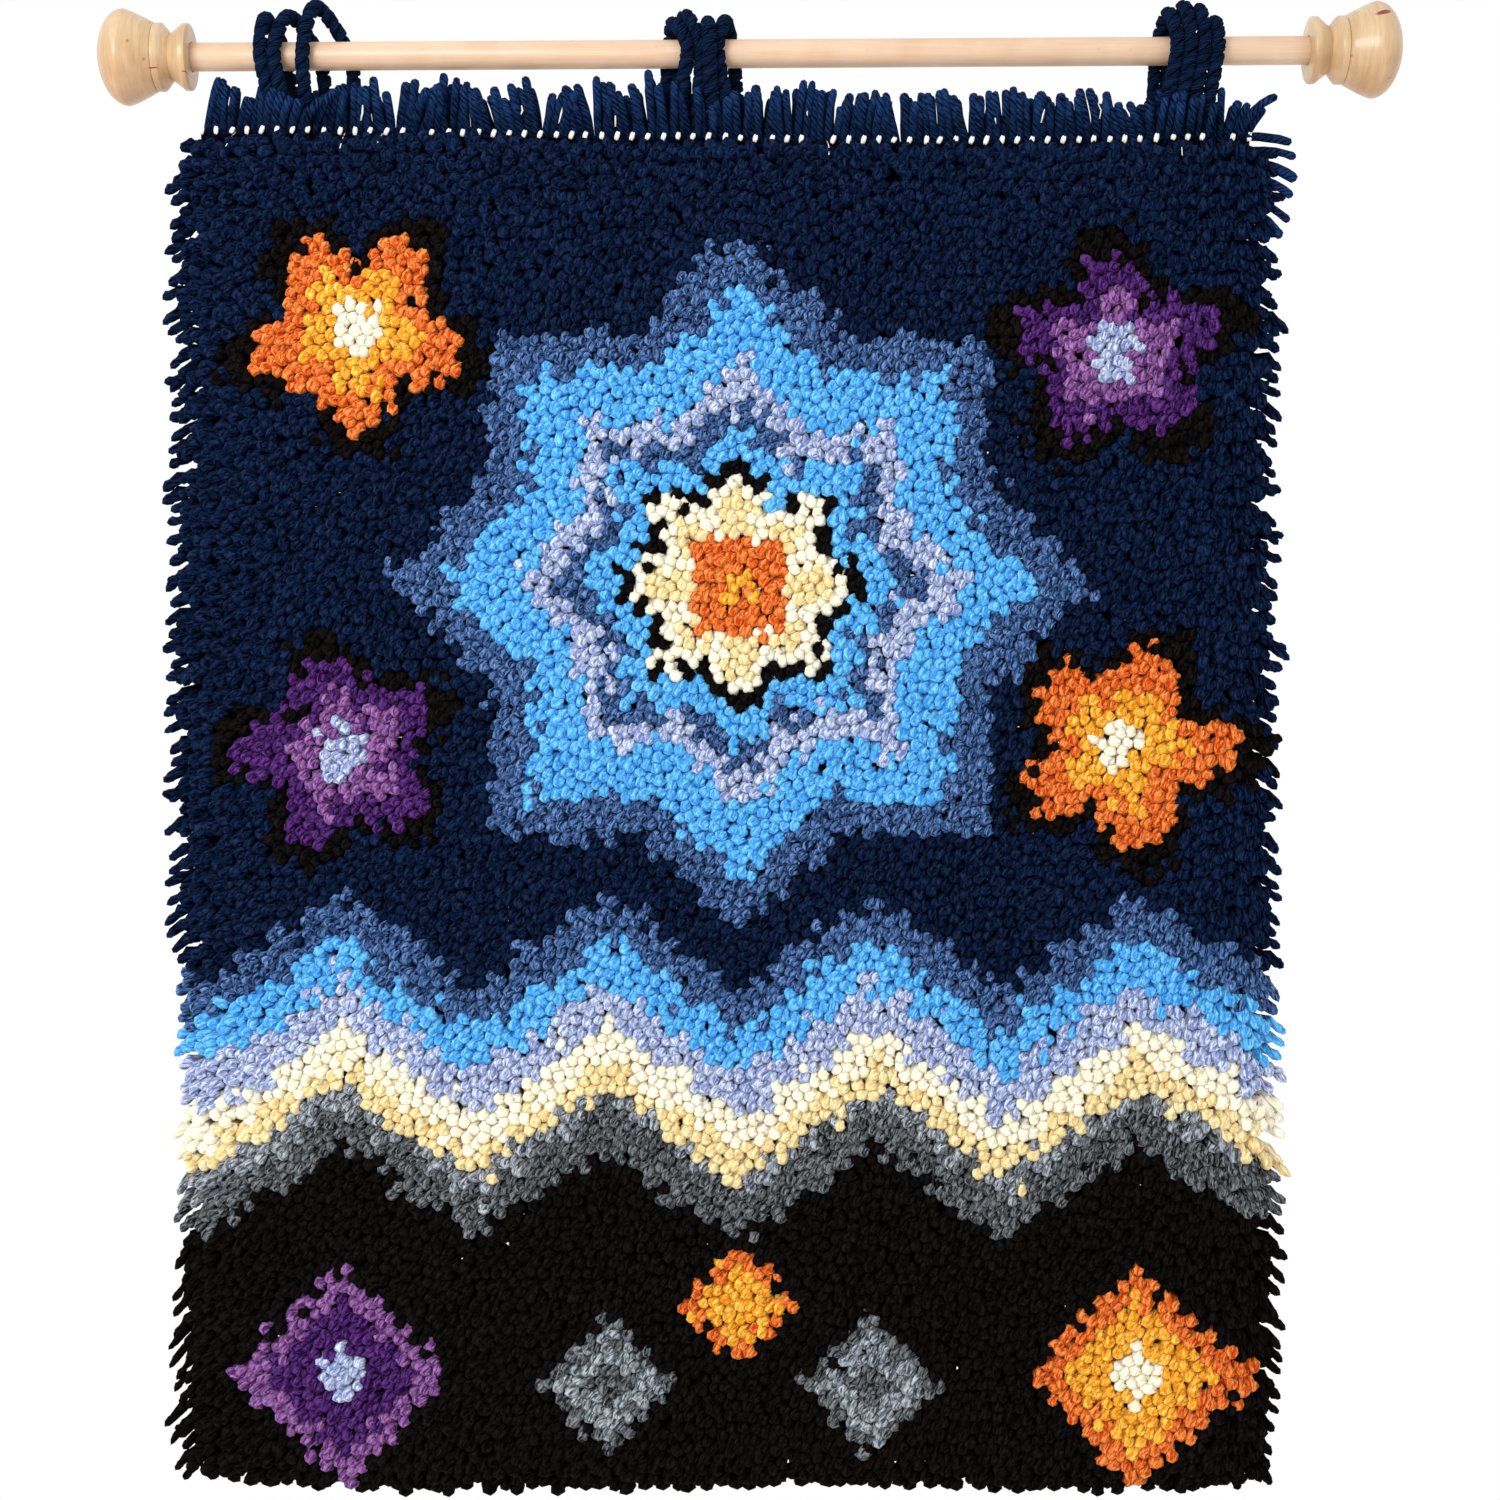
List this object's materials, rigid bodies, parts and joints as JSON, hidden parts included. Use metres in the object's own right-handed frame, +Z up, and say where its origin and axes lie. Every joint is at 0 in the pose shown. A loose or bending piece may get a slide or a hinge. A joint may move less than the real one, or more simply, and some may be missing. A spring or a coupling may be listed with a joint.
{
  "type": "knotted pile rug on a rod",
  "caption": "Latch-hooked wall rug of cut yarn pile on a cotton canvas, hung by loops of yarn from a wooden rod with turned knobs.",
  "frame": {"origin": "middle of the rod's axis, where a wall's brackets hold it", "axes": "+X along the rod to the viewer's right (the rod rises 0.35 degrees that way), +Y from the pile's face to the wall behind, +Z up"},
  "size_m": [0.6536, 0.0472, 0.7494],
  "materials": {
    "pile_yarn": "soft cut pile of twisted rug yarn in several colours",
    "canvas_cotton": "matt stiffened cotton canvas",
    "fringe_yarn": "soft twisted rug yarn",
    "hanging_yarn": "soft plied rug yarn",
    "rod_wood": "smooth pale dowel, satin",
    "knob_wood": "turned and clear varnished, semi-gloss"
  },
  "bodies": {
    "root": {"rug": "pile_yarn", "top_fringe": "fringe_yarn", "loop_left_1": "hanging_yarn", "loop_left_2": "hanging_yarn", "loop_left_3": "hanging_yarn", "loop_centre_1": "hanging_yarn", "loop_centre_2": "hanging_yarn", "loop_centre_3": "hanging_yarn", "loop_centre_4": "hanging_yarn", "loop_right_1": "hanging_yarn", "loop_right_2": "hanging_yarn", "loop_right_3": "hanging_yarn", "loop_right_4": "hanging_yarn", "rod": "rod_wood", "knob_left": "knob_wood", "knob_right": "knob_wood"}
  },
  "joints": []
}
